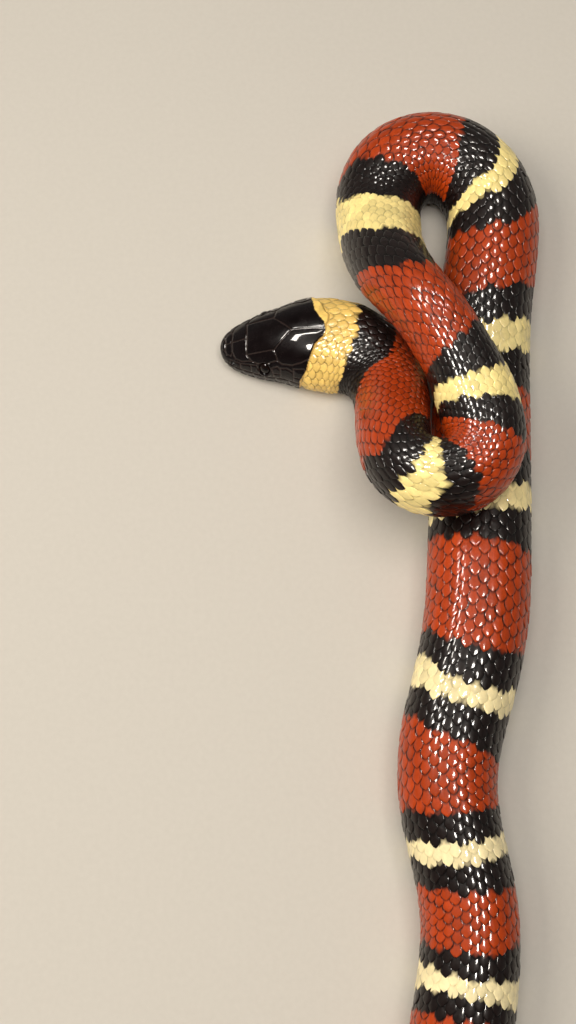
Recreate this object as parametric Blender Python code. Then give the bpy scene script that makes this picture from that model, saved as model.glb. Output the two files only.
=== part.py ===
import math

import bmesh
import bpy
import numpy as np

# Tricolour milk snake, life size, at rest on its belly with its neck looped over its own body.
# Lengths are in millimetres here and become metres where a mesh is made.
# A place on the snake is a distance s from the tip of the snout and a share g of half its girth:
# g is 0 along the back, 1 along the belly, and its sign is plus on the snake's right.

for left_over in list(bpy.data.objects):
    bpy.data.objects.remove(left_over)

MM = 0.001
SEAM_GAP = 0.3

# From the point that the course is measured from to the middle of the animal's footprint
SHIFT = (13.944, 82.281)

# Course of the body on the floor, as control points of an even cubic B-spline
ROUTE = (
    (-13.7, 34.9), (-4.0, 34.9), (5.2, 35.2), (12.6, 33.8), (17.8, 30.2), (20.4, 24.8),
    (20.8, 18.8), (20.4, 12.8), (20.6, 7.0), (21.8, 2.8), (24.9, -0.3), (29.1, -1.5),
    (33.3, -0.3), (36.3, 2.8), (37.4, 6.9), (36.5, 12.1), (35.0, 17.8), (32.0, 25.0),
    (27.7, 32.9), (22.8, 41.4), (19.8, 50.3), (19.1, 58.8), (18.8, 66.0), (20.3, 72.5),
    (24.6, 77.0), (30.6, 78.6), (36.5, 76.8), (40.9, 72.0), (43.0, 65.9), (43.1, 59.4),
    (42.0, 51.7), (40.5, 43.3), (39.1, 29.7), (38.2, 9.5), (37.1, -7.4), (36.4, -22.3),
    (33.7, -35.1), (29.8, -46.8), (28.7, -58.2), (31.2, -69.8), (33.0, -80.6), (30.7, -95.4),
    (27.2, -114.8), (19.4, -132.8), (3.0, -144.0), (-20.0, -144.0), (-44.0, -146.5),
    (-66.0, -157.0), (-73.0, -179.0), (-61.0, -199.0), (-36.0, -205.0), (-9.0, -199.5),
    (16.0, -199.5), (36.0, -210.0), (40.0, -230.0), (26.0, -246.0), (0.0, -248.0),
    (-24.0, -241.5), (-50.0, -241.0), (-70.8, -247.3),
)

# The neck climbs onto the body behind it and comes down again
CLIMB_HEIGHT = 16.6
CLIMB_FROM, CLIMB_TO = 30.0, 74.0
DESCENT_FROM, DESCENT_TO = 100.0, 150.0

# Full width, height of the back over the belly line, and rise of the chin, along the snake
WIDTH = (
    (0, 0), (0.9, 5.4), (2.2, 7.9), (5.6, 11.3), (9, 13.7), (12.5, 15.5), (16, 18.1), (20.5, 20.1),
    (25, 20.0), (30, 18.2), (38, 16.0), (50, 15.0), (62, 14.7), (76, 15.0), (88, 15.7),
    (100, 13.9), (112, 13.6), (124, 16.2), (138, 17.8), (158, 19.2), (200, 19.2), (262, 20.2),
    (290, 19.4), (320, 17.6), (345, 18.2), (440, 21.2), (540, 20.4), (600, 17.6), (626, 14.6),
    (660, 11.2), (700, 7.2), (736, 3.6), (746, 1.2),
)
HEIGHT = (
    (0, 3.0), (2.2, 5.2), (5.6, 7.3), (9, 8.9), (12.5, 10.2), (16, 11.2), (20.5, 12.0), (25, 12.6),
    (30, 13.0), (40, 13.2), (62, 13.3), (100, 13.7), (124, 14.4), (138, 15.4), (262, 16.2),
    (345, 15.6), (440, 17.2), (540, 16.4), (600, 14.2), (626, 12.2), (660, 9.6), (700, 6.2),
    (736, 3.2), (746, 1.2),
)
CHIN = ((0, 2.9), (1, 1.5), (2.5, 0.8), (5, 0.3), (9, 0), (746, 0))
MOUTH = ((0, 1.7), (3, 2.0), (8, 2.4), (13, 2.8), (17.2, 3.1), (746, 3.1))

# The widest level as a share of the height, and how square the upper and lower halves are
FLANK_LEVEL = 0.42
BACK_POWER = 2.2
BELLY_POWER = 3.0
BELLY_FLAT = 1.05

# Edges between the coloured rings, from the snout: they go black, yellow, black, red over and over
RINGS_SEEN = (
    20.5, 27.3, 38.6, 61.8, 66.6, 69.6, 72.8, 81, 86.7, 91.9, 99.4, 113.6, 123.1, 134.6, 150.6,
    168.2, 177.4, 183.4, 190.4, 205.2, 212.8, 219.6, 226.6, 240.2, 247.5, 252.6, 258.4, 279.2,
    286.3, 290.8, 296.9, 310.4, 315.6, 319.4, 324.4, 334.4, 339, 341.8, 345.8,
)
REPEAT_RED, REPEAT_BLACK, REPEAT_YELLOW = 14.5, 5.6, 4.6
RING_COLOURS = ("black", "yellow", "black", "red")
FINISHES = {
    "black": ((0.012, 0.010, 0.013, 1.0), 0.25),
    "yellow": ((0.80, 0.66, 0.27, 1.0), 0.35),
    "red": ((0.42, 0.055, 0.018, 1.0), 0.35),
    "eye_black": ((0.006, 0.006, 0.007, 1.0), 0.05),
}
BODY_FINISHES = ("black", "yellow", "red")

SIDES = 20
RING_STEP_BENT, RING_STEP_STRAIGHT = 2.7, 4.3
BENT_UNTIL = 190.0
JAW_END = 17.2
HEAD_END = 24.0
LENGTHS = (
    ("neck", HEAD_END, 60.0), ("body_1", 60.0, 130.0), ("body_2", 130.0, 200.0),
    ("body_3", 200.0, 270.0), ("body_4", 270.0, 340.0), ("body_5", 340.0, 411.0),
    ("body_6", 411.0, 482.0), ("body_7", 482.0, 552.0), ("body_8", 552.0, 624.0),
    ("tail_base", 624.0, 690.0), ("tail_tip", 690.0, 745.2),
)

EYE_S, EYE_X, EYE_Z, EYE_RADIUS = 9.2, 5.5, 5.6, 1.4
SOCKET_GAP = 0.2
NOSTRIL_S, NOSTRIL_Z, NOSTRIL_RADIUS = 2.6, 3.95, 0.32

PLATE_RISE = 0.26
PLATE_SUNK = 0.45
PLATE_BEVEL = 0.16
PLATE_SEAM = 0.11


# Smooth tables and the course of the body
def along(table):
    """A smooth curve through a table, without bumps between its places."""
    x = np.sqrt(np.array([row[0] for row in table], float))
    y = np.array([row[1] for row in table], float)
    slope = np.diff(y) / np.diff(x)
    tangent = np.zeros(len(x))
    tangent[0], tangent[-1] = slope[0], slope[-1]
    alike = slope[:-1] * slope[1:] > 0
    before, after = slope[:-1][alike], slope[1:][alike]
    tangent[1:-1][alike] = 2 * before * after / (before + after)

    def value(s):
        q = np.sqrt(np.clip(s, 0, None))
        i = np.clip(np.searchsorted(x, q) - 1, 0, len(x) - 2)
        h = x[i + 1] - x[i]
        t = np.clip((q - x[i]) / h, 0, 1)
        ends = (2 * t**3 - 3 * t**2 + 1) * y[i] + (3 * t**2 - 2 * t**3) * y[i + 1]
        bends = (t**3 - 2 * t**2 + t) * tangent[i] + (t**3 - t**2) * tangent[i + 1]
        return ends + h * bends

    return value


width = along(WIDTH)
height = along(HEIGHT)
chin = along(CHIN)
mouth = along(MOUTH)


def spline(points, samples=6000):
    """Even cubic B-spline that starts and ends at the first and last point."""
    p = np.array(points, float)
    p = np.vstack([2 * p[0] - p[1], p, 2 * p[-1] - p[-2]])
    spans = len(p) - 3
    u = np.linspace(0, spans, samples + 1)
    i = np.minimum(u.astype(int), spans - 1)
    f = (u - i)[:, None]
    a = (1 - f) ** 3 * p[i]
    b = (3 * f**3 - 6 * f**2 + 4) * p[i + 1]
    c = (-3 * f**3 + 3 * f**2 + 3 * f + 1) * p[i + 2]
    return (a + b + c + f**3 * p[i + 3]) / 6


COURSE = spline(ROUTE)
TRAVEL = np.append(0.0, np.cumsum(np.linalg.norm(np.diff(COURSE, axis=0), axis=1)))
HEADING = np.unwrap(np.arctan2(np.gradient(COURSE[:, 1], TRAVEL), np.gradient(COURSE[:, 0], TRAVEL)))


def ease(t):
    t = np.clip(t, 0, 1)
    return t**3 * (10 - 15 * t + 6 * t**2)


def lift(s):
    """Height of the belly line over the floor."""
    up = ease((s - CLIMB_FROM) / (CLIMB_TO - CLIMB_FROM))
    down = ease((s - DESCENT_FROM) / (DESCENT_TO - DESCENT_FROM))
    return CLIMB_HEIGHT * (up - down)


def stance(s):
    """Belly point, and the axes along, to the right of and up from the body at s."""
    turn = np.interp(s, TRAVEL, HEADING)
    point = np.array([np.interp(s, TRAVEL, COURSE[:, 0]), np.interp(s, TRAVEL, COURSE[:, 1]), lift(s)])
    steep = (lift(s + 0.05) - lift(s - 0.05)) / 0.1
    ahead = np.array([math.cos(turn), math.sin(turn), steep])
    ahead = ahead / np.linalg.norm(ahead)
    side = np.array([-math.sin(turn), math.cos(turn), 0.0])
    return point, ahead, side, np.cross(ahead, side)


# Cross-section of the snake
def outline(s, samples=97):
    """Right half of the section at s from back to belly, with its share of girth at each point."""
    half, top, low = width(s) / 2, height(s), chin(s)
    level = low + FLANK_LEVEL * (top - low)
    angle = np.linspace(0, math.pi, samples)
    c, d = np.cos(angle), np.abs(np.sin(angle))
    c[samples // 2] = 0.0
    upper = c >= 0
    power = np.where(upper, BACK_POWER, BELLY_POWER)
    reach = np.where(upper, top - level, (level - low) * BELLY_FLAT)
    x = half * d ** (2 / power)
    z = level + reach * np.sign(c) * np.abs(c) ** (2 / power)
    z = np.maximum(z, low)
    x[0] = x[-1] = 0.0
    run = np.append(0.0, np.cumsum(np.hypot(np.diff(x), np.diff(z))))
    return x, z, run / run[-1]


def section(s, shares):
    """Points (x, z) of the section at the given shares of girth."""
    x, z, g = outline(s)
    shares = (np.asarray(shares, float) + 1) % 2 - 1
    side = np.where(shares < 0, -1.0, 1.0)
    return side * np.interp(np.abs(shares), g, x), np.interp(np.abs(shares), g, z)


def share_at_x(s, x):
    xs, zs, g = outline(s)
    rim = int(np.argmax(xs))
    return math.copysign(float(np.interp(abs(x), xs[:rim + 1], g[:rim + 1])), x)


def share_at_z(s, z, side=1):
    xs, zs, g = outline(s)
    return side * float(np.interp(-z, -zs, g))


def place(s, x, z):
    """Points in the section plane at s, set in space."""
    point, ahead, side, up = stance(s)
    x, z = np.asarray(x, float), np.asarray(z, float)
    return point + x[..., None] * side + z[..., None] * up


def skin_point(s, g, out=0.0):
    """A point of the skin, moved outward by a distance."""
    e = 0.02
    x, z = section(s, [g - e, g, g + e])
    run = np.array([x[2] - x[0], z[2] - z[0]])
    run = run / max(np.linalg.norm(run), 1e-9)
    normal = np.array([-run[1], run[0]])
    return place(s, x[1] + out * normal[0], z[1] + out * normal[1])


# Colours of the rings
def ring_edges():
    edges = list(RINGS_SEEN)
    widths = (REPEAT_RED, REPEAT_BLACK, REPEAT_YELLOW, REPEAT_BLACK)
    step = 0
    while edges[-1] < 735:
        taper = 1.0 if edges[-1] < 600 else 0.8
        sway = 1.0 + 0.12 * math.sin(2.3 * step)
        edges.append(edges[-1] + widths[step % 4] * sway * taper)
        step += 1
    return edges


EDGES = ring_edges()


def ring_colour(s):
    return RING_COLOURS[int(np.searchsorted(EDGES, s)) % 4]


# Meshes, each with its origin at its own first point and parented to one empty
snake = bpy.data.objects.new("milk_snake", None)
snake.location = (SHIFT[0] * MM, SHIFT[1] * MM, 0.0)
bpy.context.scene.collection.objects.link(snake)


def skin_material(name):
    material = bpy.data.materials.get(name)
    if material is None:
        colour, roughness = FINISHES[name]
        material = bpy.data.materials.new(name)
        material.use_nodes = True
        shader = material.node_tree.nodes["Principled BSDF"]
        shader.inputs["Base Color"].default_value = colour
        shader.inputs["Roughness"].default_value = roughness
        shader.inputs["Metallic"].default_value = 0.0
        material.diffuse_color = colour
    return material


def finish(work, name, origin, finishes):
    """Turn a bmesh, in millimetres around its origin, into a named object."""
    bmesh.ops.recalc_face_normals(work, faces=work.faces)
    bmesh.ops.scale(work, vec=(MM, MM, MM), verts=work.verts)
    for face in work.faces:
        face.smooth = True
    mesh = bpy.data.meshes.new(name)
    work.to_mesh(mesh)
    work.free()
    for finish_name in finishes:
        mesh.materials.append(skin_material(finish_name))
    made = bpy.data.objects.new(name, mesh)
    made.location = tuple(np.asarray(origin) * MM)
    made.parent = snake
    bpy.context.scene.collection.objects.link(made)
    return made


def loft(name, rings, places):
    """A closed solid through rings of equally many points, capped flat at both ends."""
    origin = rings[0].mean(axis=0)
    work = bmesh.new()
    loops = [[work.verts.new(tuple(p - origin)) for p in ring] for ring in rings]
    for i, (front, back) in enumerate(zip(loops[:-1], loops[1:])):
        colour = ring_colour((places[i] + places[i + 1]) / 2)
        for j in range(len(front)):
            face = work.faces.new((front[j - 1], front[j], back[j], back[j - 1]))
            face.material_index = BODY_FINISHES.index(colour)
    for loop, s in ((loops[0], places[0]), (loops[-1], places[-1])):
        cap = work.faces.new(loop)
        cap.material_index = BODY_FINISHES.index(ring_colour(s))
    return finish(work, name, origin, BODY_FINISHES)


def ring_places(first, last):
    """Places of the rings of one length: its ends, the colour edges, and even steps between."""
    marks = [first] + [e for e in EDGES if first + 1.2 < e < last - 1.2] + [last]
    places = []
    for a, b in zip(marks[:-1], marks[1:]):
        step = RING_STEP_BENT if a < BENT_UNTIL else RING_STEP_STRAIGHT
        steps = max(1, math.ceil((b - a) / step))
        places += [a + (b - a) * i / steps for i in range(steps)]
    return places + [last]


def body_length(name, start, end):
    half_gap = SEAM_GAP / 2
    closing = end > 740
    places = ring_places(start + half_gap, end if closing else end - half_gap)
    shares = np.arange(SIDES) * 2 / SIDES
    return loft(name, [place(s, *section(s, shares)) for s in places], places)


# Head above the mouth line, full round behind the corner of the mouth
HEAD_PLACES = (0.06, 0.3, 0.8, 1.5, 2.4, 3.5, 4.8, 6.2, 7.7, 9.2, 10.8, 12.4, 14.0, 15.6, 17.0)
JAW_PLACES = (0.75, 1.0, 1.5, 2.4, 3.5, 4.8, 6.2, 7.7, 9.2, 10.8, 12.4, 14.0, 15.6, 16.6)
REAR_PLACES = (17.25, 19.0, 20.7, 22.3, HEAD_END - SEAM_GAP / 2)
LIP_GAP = 0.15


def head_ring(s, clipped):
    floor = mouth(s) + LIP_GAP
    rim = share_at_z(s, floor)
    upper = np.linspace(-rim, rim, 19)
    lower = np.linspace(rim, 2 - rim, 11)[1:-1]
    x, z = section(s, np.append(upper, lower))
    if clipped:
        z = np.maximum(z, floor)
    return place(s, x, z)


def jaw_ring(s):
    roof = mouth(s) - LIP_GAP
    rim = share_at_z(s, roof)
    x, z = section(s, np.linspace(rim, 2 - rim, 15))
    inset = 0.985
    across = np.linspace(x[-1], x[0], 7)[1:-1]
    x = np.append(x, across) * inset
    z = np.append(z, np.full(5, roof))
    return place(s, x, z)


head = loft(
    "head",
    [head_ring(s, True) for s in HEAD_PLACES] + [head_ring(s, False) for s in REAR_PLACES],
    HEAD_PLACES + REAR_PLACES,
)
lower_jaw = loft("lower_jaw", [jaw_ring(s) for s in JAW_PLACES], JAW_PLACES)
for length_name, length_start, length_end in LENGTHS:
    body_length(length_name, length_start, length_end)


# Shields of the head as raised plates. Corners are (s, x) on top and (s, z) on the sides.
TOP_SHIELDS = {
    "internasal": ((1.05, 0), (2.3, 0), (2.4, 2.0), (2.0, 2.6), (1.3, 2.2), (0.9, 1.3)),
    "prefrontal": ((2.3, 0), (5.4, 0), (5.35, 3.35), (6.3, 4.6), (4.4, 4.2), (3.0, 3.4), (2.4, 2.0)),
    "supraocular": ((5.35, 3.35), (10.9, 3.5), (11.5, 5.5), (9.4, 5.6), (7.4, 5.2), (6.3, 4.6)),
    "parietal": (
        (14.5, 0), (21.0, 0), (20.9, 1.2), (19.7, 3.4), (18.4, 5.3), (16.6, 6.5), (14.6, 6.8),
        (12.4, 6.2), (11.5, 5.5), (10.9, 3.5),
    ),
}
MIDDLE_SHIELDS = {
    "rostral": ((0.14, 0.7), (0.8, 1.3), (1.0, 0), (0.8, -1.3), (0.14, -0.7)),
    "frontal": ((5.4, 0), (5.35, 3.35), (10.9, 3.5), (14.5, 0), (10.9, -3.5), (5.35, -3.35)),
}
SIDE_SHIELDS = {
    "nasal": ((1.75, 3.3), (1.9, 4.0), (3.0, 4.45), (4.0, 4.8), (4.0, 3.65), (2.7, 3.4)),
    "loreal": ((4.1, 3.65), (4.1, 4.8), (6.1, 5.6), (6.1, 4.0)),
    "preocular": ((6.2, 4.05), (6.2, 5.6), (7.3, 6.1), (7.8, 5.4), (7.8, 4.2)),
    "postocular_low": ((10.7, 4.5), (10.6, 5.6), (12.0, 5.9), (12.0, 4.7)),
    "postocular_high": ((10.5, 5.75), (10.3, 6.7), (11.5, 7.4), (12.0, 6.9), (12.0, 6.0)),
    "temporal_front": ((12.1, 4.8), (12.1, 7.2), (13.4, 7.7), (14.8, 7.6), (14.8, 5.15)),
    "temporal_high": ((14.9, 6.6), (14.9, 8.2), (17.2, 8.9), (17.8, 7.0)),
    "temporal_low": ((14.9, 5.25), (14.9, 6.5), (17.8, 6.9), (17.8, 5.3)),
}
UPPER_LIP = ((1.25, 3.1), (2.7, 3.3), (4.5, 3.6), (6.6, 3.95), (8.8, 4.05), (11.1, 4.4), (13.9, 4.9), (16.9, 5.1))
LOWER_LIP = (2.3, 3.8, 5.4, 7.1, 8.9, 10.9, 13.1, 15.0, 16.5)
LOWER_LIP_DEPTH = 1.25


def shrink(corners, inset):
    """Move every corner of a flat outline inward by the same distance."""
    pts = [np.array(c, float) for c in corners]
    area = sum(a[0] * b[1] - a[1] * b[0] for a, b in zip(pts, pts[1:] + pts[:1]))
    turn = 1.0 if area > 0 else -1.0
    out = []
    for before, here, after in zip(pts[-1:] + pts[:-1], pts, pts[1:] + pts[:1]):
        a, b = here - before, after - here
        a, b = a / np.linalg.norm(a), b / np.linalg.norm(b)
        na, nb = turn * np.array([-a[1], a[0]]), turn * np.array([-b[1], b[0]])
        both = na + nb
        out.append(here + both * inset / max(0.35, float(both @ na)))
    return out


def divided(corners, parts):
    """The outline with each edge split into its number of parts."""
    out = []
    for a, b, n in zip(corners, corners[1:] + corners[:1], parts):
        out += [a + (b - a) * i / n for i in range(n)]
    return out


def plate(name, corners, to_share, longest=2.6):
    """A thin raised plate on the skin over a flat outline of (s, x) or (s, z)."""
    flat = [np.array(c, float) for c in corners]
    parts = [math.ceil(np.linalg.norm(b - a) / longest) for a, b in zip(flat, flat[1:] + flat[:1])]
    rim = divided(shrink(corners, PLATE_SEAM), parts)
    crown = divided(shrink(corners, PLATE_SEAM + PLATE_BEVEL), parts)
    count = len(rim)
    middle = sum(crown) / count
    inner = [middle + 0.5 * (c - middle) for c in crown]

    def lay(spot, out):
        return skin_point(spot[0], to_share(spot[0], spot[1]), out)

    origin = lay(middle, 0.0)
    work = bmesh.new()

    def corner(spot, out):
        return work.verts.new(tuple(lay(spot, out) - origin))

    heights = ((rim, -PLATE_SUNK), (rim, PLATE_RISE * 0.45), (crown, PLATE_RISE), (inner, PLATE_RISE))
    loops = [[corner(c, out) for c in spots] for spots, out in heights]
    top, bottom = corner(middle, PLATE_RISE), corner(middle, -PLATE_SUNK)
    for j in range(count):
        work.faces.new((loops[0][j], loops[0][j - 1], bottom))
        work.faces.new((loops[3][j - 1], loops[3][j], top))
        for low, high in zip(loops[:-1], loops[1:]):
            work.faces.new((low[j - 1], low[j], high[j], high[j - 1]))
    return finish(work, name, origin, ("black",))


def sided(side):
    def to_share(s, z):
        return share_at_z(s, z, side)
    return to_share


def mirrored(corners):
    return [(s, -x) for s, x in corners]


def on_top(s, x):
    return share_at_x(s, x) if abs(x) > 1e-6 else 0.0


plates = []
for shield, corners in MIDDLE_SHIELDS.items():
    plates.append(plate(shield, list(corners), on_top))
for shield, corners in TOP_SHIELDS.items():
    plates.append(plate(shield + "_right", list(corners), on_top))
    plates.append(plate(shield + "_left", mirrored(corners), on_top))
for side, side_name in ((1, "right"), (-1, "left")):
    for shield, corners in SIDE_SHIELDS.items():
        plates.append(plate(f"{shield}_{side_name}", list(corners), sided(side)))
    for i, ((s0, z0), (s1, z1)) in enumerate(zip(UPPER_LIP[:-1], UPPER_LIP[1:])):
        lip = [(s0, mouth(s0) + 0.28), (s0, z0), (s1, z1), (s1, mouth(s1) + 0.28)]
        plates.append(plate(f"supralabial_{i + 1}_{side_name}", lip, sided(side)))

jaw_plates = []
for side, side_name in ((1, "right"), (-1, "left")):
    for i, (s0, s1) in enumerate(zip(LOWER_LIP[:-1], LOWER_LIP[1:])):
        top0, top1 = mouth(s0) - 0.28, mouth(s1) - 0.28
        low0 = max(top0 - LOWER_LIP_DEPTH, chin(s0) + 0.25)
        low1 = max(top1 - LOWER_LIP_DEPTH, chin(s1) + 0.25)
        lip = [(s0, low0), (s0, top0), (s1, top1), (s1, low1)]
        jaw_plates.append(plate(f"infralabial_{i + 1}_{side_name}", lip, sided(side)))


# Eyes, their sockets and the nostrils
def ball(name, centre, radius, material="black", segments=16, rows=10):
    work = bmesh.new()
    bmesh.ops.create_uvsphere(work, u_segments=segments, v_segments=rows, radius=radius)
    return finish(work, name, centre, (material,))


pits = []
for side, side_name in ((1, "right"), (-1, "left")):
    centre = place(EYE_S, side * EYE_X, EYE_Z)
    ball("eye_" + side_name, centre, EYE_RADIUS, "eye_black")
    pits.append(ball("socket_" + side_name, centre, EYE_RADIUS + SOCKET_GAP))
    nostril = skin_point(NOSTRIL_S, share_at_z(NOSTRIL_S, NOSTRIL_Z, side), 0.2)
    pits.append(ball("nostril_" + side_name, nostril, NOSTRIL_RADIUS, segments=8, rows=6))


# Join the plates to their nodes, cut the pits, and keep the one closed surface of each
def gathered(name, objects):
    group = bpy.data.collections.new(name)
    bpy.context.scene.collection.children.link(group)
    for piece in objects:
        bpy.context.scene.collection.objects.unlink(piece)
        group.objects.link(piece)
        piece.hide_render = True
        piece.display_type = "WIRE"
    bpy.context.view_layer.update()
    return group


def joined(node, group, operation):
    modifier = node.modifiers.new(operation.lower(), "BOOLEAN")
    modifier.operation = operation
    modifier.operand_type = "COLLECTION"
    modifier.collection = group
    modifier.solver = "MANIFOLD"
    graph = bpy.context.evaluated_depsgraph_get()
    made = bpy.data.meshes.new_from_object(node.evaluated_get(graph))
    node.modifiers.clear()
    node.data = made
    for piece in list(group.objects):
        bpy.data.objects.remove(piece)
    bpy.data.collections.remove(group)


def largest_surface(node):
    work = bmesh.new()
    work.from_mesh(node.data)
    bmesh.ops.remove_doubles(work, verts=work.verts, dist=0.000002)
    bmesh.ops.dissolve_degenerate(work, dist=0.000002, edges=work.edges)
    left, islands = set(work.verts), []
    while left:
        stack, island = [left.pop()], set()
        while stack:
            vertex = stack.pop()
            island.add(vertex)
            for edge in vertex.link_edges:
                other = edge.other_vert(vertex)
                if other in left:
                    left.remove(other)
                    stack.append(other)
        islands.append(island)
    islands.sort(key=len)
    spare = [v for island in islands[:-1] for v in island]
    bmesh.ops.delete(work, geom=spare, context="VERTS")
    work.to_mesh(node.data)
    work.free()


joined(head, gathered("head_shields", plates), "UNION")
joined(head, gathered("head_pits", pits), "DIFFERENCE")
largest_surface(head)
joined(lower_jaw, gathered("jaw_shields", jaw_plates), "UNION")
largest_surface(lower_jaw)
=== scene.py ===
import math

import bmesh
import bpy
import numpy as np
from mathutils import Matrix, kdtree


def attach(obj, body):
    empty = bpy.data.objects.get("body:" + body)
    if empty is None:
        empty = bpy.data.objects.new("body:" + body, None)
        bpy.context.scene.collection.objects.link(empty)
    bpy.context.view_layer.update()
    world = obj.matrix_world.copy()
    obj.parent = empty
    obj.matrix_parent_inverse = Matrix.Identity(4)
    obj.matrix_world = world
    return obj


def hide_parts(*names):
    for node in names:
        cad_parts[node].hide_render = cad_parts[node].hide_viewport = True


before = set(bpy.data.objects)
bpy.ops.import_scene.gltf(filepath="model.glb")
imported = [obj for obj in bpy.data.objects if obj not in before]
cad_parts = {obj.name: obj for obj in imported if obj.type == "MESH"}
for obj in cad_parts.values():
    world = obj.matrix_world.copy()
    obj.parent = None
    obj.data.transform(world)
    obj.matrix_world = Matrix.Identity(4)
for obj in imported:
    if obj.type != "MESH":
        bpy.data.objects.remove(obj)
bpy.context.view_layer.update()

# The snake is measured in millimetres along its own course. A place on it is s, the distance from
# the snout, and g, the share of half its girth: 0 on the back, 1 on the belly, plus on its right.
MM = 0.001
SHIFT = (13.944, 82.281)
ROUTE = (
    (-13.7, 34.9), (-4.0, 34.9), (5.2, 35.2), (12.6, 33.8), (17.8, 30.2), (20.4, 24.8),
    (20.8, 18.8), (20.4, 12.8), (20.6, 7.0), (21.8, 2.8), (24.9, -0.3), (29.1, -1.5),
    (33.3, -0.3), (36.3, 2.8), (37.4, 6.9), (36.5, 12.1), (35.0, 17.8), (32.0, 25.0),
    (27.7, 32.9), (22.8, 41.4), (19.8, 50.3), (19.1, 58.8), (18.8, 66.0), (20.3, 72.5),
    (24.6, 77.0), (30.6, 78.6), (36.5, 76.8), (40.9, 72.0), (43.0, 65.9), (43.1, 59.4),
    (42.0, 51.7), (40.5, 43.3), (39.1, 29.7), (38.2, 9.5), (37.1, -7.4), (36.4, -22.3),
    (33.7, -35.1), (29.8, -46.8), (28.7, -58.2), (31.2, -69.8), (33.0, -80.6), (30.7, -95.4),
    (27.2, -114.8), (19.4, -132.8), (3.0, -144.0), (-20.0, -144.0), (-44.0, -146.5),
    (-66.0, -157.0), (-73.0, -179.0), (-61.0, -199.0), (-36.0, -205.0), (-9.0, -199.5),
    (16.0, -199.5), (36.0, -210.0), (40.0, -230.0), (26.0, -246.0), (0.0, -248.0),
    (-24.0, -241.5), (-50.0, -241.0), (-70.8, -247.3),
)
CLIMB_HEIGHT = 16.6
CLIMB_FROM, CLIMB_TO = 30.0, 74.0
DESCENT_FROM, DESCENT_TO = 100.0, 150.0
WIDTH = (
    (0, 0), (0.9, 5.4), (2.2, 7.9), (5.6, 11.3), (9, 13.7), (12.5, 15.5), (16, 18.1), (20.5, 20.1),
    (25, 20.0), (30, 18.2), (38, 16.0), (50, 15.0), (62, 14.7), (76, 15.0), (88, 15.7),
    (100, 13.9), (112, 13.6), (124, 16.2), (138, 17.8), (158, 19.2), (200, 19.2), (262, 20.2),
    (290, 19.4), (320, 17.6), (345, 18.2), (440, 21.2), (540, 20.4), (600, 17.6), (626, 14.6),
    (660, 11.2), (700, 7.2), (736, 3.6), (746, 1.2),
)
HEIGHT = (
    (0, 3.0), (2.2, 5.2), (5.6, 7.3), (9, 8.9), (12.5, 10.2), (16, 11.2), (20.5, 12.0), (25, 12.6),
    (30, 13.0), (40, 13.2), (62, 13.3), (100, 13.7), (124, 14.4), (138, 15.4), (262, 16.2),
    (345, 15.6), (440, 17.2), (540, 16.4), (600, 14.2), (626, 12.2), (660, 9.6), (700, 6.2),
    (736, 3.2), (746, 1.2),
)
CHIN = ((0, 2.9), (1, 1.5), (2.5, 0.8), (5, 0.3), (9, 0), (746, 0))
MOUTH = ((0, 1.7), (3, 2.0), (8, 2.4), (13, 2.8), (17.2, 3.1), (746, 3.1))
FLANK_LEVEL = 0.42
BACK_POWER = 2.2
BELLY_POWER = 3.0
BELLY_FLAT = 1.05
TAIL_END = 745.9


def along(table):
    """A smooth curve through a table, without bumps between its places."""
    x = np.sqrt(np.array([row[0] for row in table], float))
    y = np.array([row[1] for row in table], float)
    slope = np.diff(y) / np.diff(x)
    tangent = np.zeros(len(x))
    tangent[0], tangent[-1] = slope[0], slope[-1]
    alike = slope[:-1] * slope[1:] > 0
    before, after = slope[:-1][alike], slope[1:][alike]
    tangent[1:-1][alike] = 2 * before * after / (before + after)

    def value(s):
        q = np.sqrt(np.clip(s, 0, None))
        i = np.clip(np.searchsorted(x, q) - 1, 0, len(x) - 2)
        h = x[i + 1] - x[i]
        t = np.clip((q - x[i]) / h, 0, 1)
        ends = (2 * t**3 - 3 * t**2 + 1) * y[i] + (3 * t**2 - 2 * t**3) * y[i + 1]
        bends = (t**3 - 2 * t**2 + t) * tangent[i] + (t**3 - t**2) * tangent[i + 1]
        return ends + h * bends

    return value


width = along(WIDTH)
height = along(HEIGHT)
chin = along(CHIN)
mouth = along(MOUTH)


def spline(points, samples=6000):
    """Even cubic B-spline that starts and ends at the first and last point."""
    p = np.array(points, float)
    p = np.vstack([2 * p[0] - p[1], p, 2 * p[-1] - p[-2]])
    spans = len(p) - 3
    u = np.linspace(0, spans, samples + 1)
    i = np.minimum(u.astype(int), spans - 1)
    f = (u - i)[:, None]
    a = (1 - f) ** 3 * p[i]
    b = (3 * f**3 - 6 * f**2 + 4) * p[i + 1]
    c = (-3 * f**3 + 3 * f**2 + 3 * f + 1) * p[i + 2]
    return (a + b + c + f**3 * p[i + 3]) / 6


course = spline(ROUTE)
travel = np.append(0.0, np.cumsum(np.linalg.norm(np.diff(course, axis=0), axis=1)))
heading = np.unwrap(np.arctan2(np.gradient(course[:, 1], travel), np.gradient(course[:, 0], travel)))


def ease(t):
    t = np.clip(t, 0, 1)
    return t**3 * (10 - 15 * t + 6 * t**2)


def lift(s):
    """Height of the belly line over the floor."""
    up = ease((s - CLIMB_FROM) / (CLIMB_TO - CLIMB_FROM))
    down = ease((s - DESCENT_FROM) / (DESCENT_TO - DESCENT_FROM))
    return CLIMB_HEIGHT * (up - down)


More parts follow.
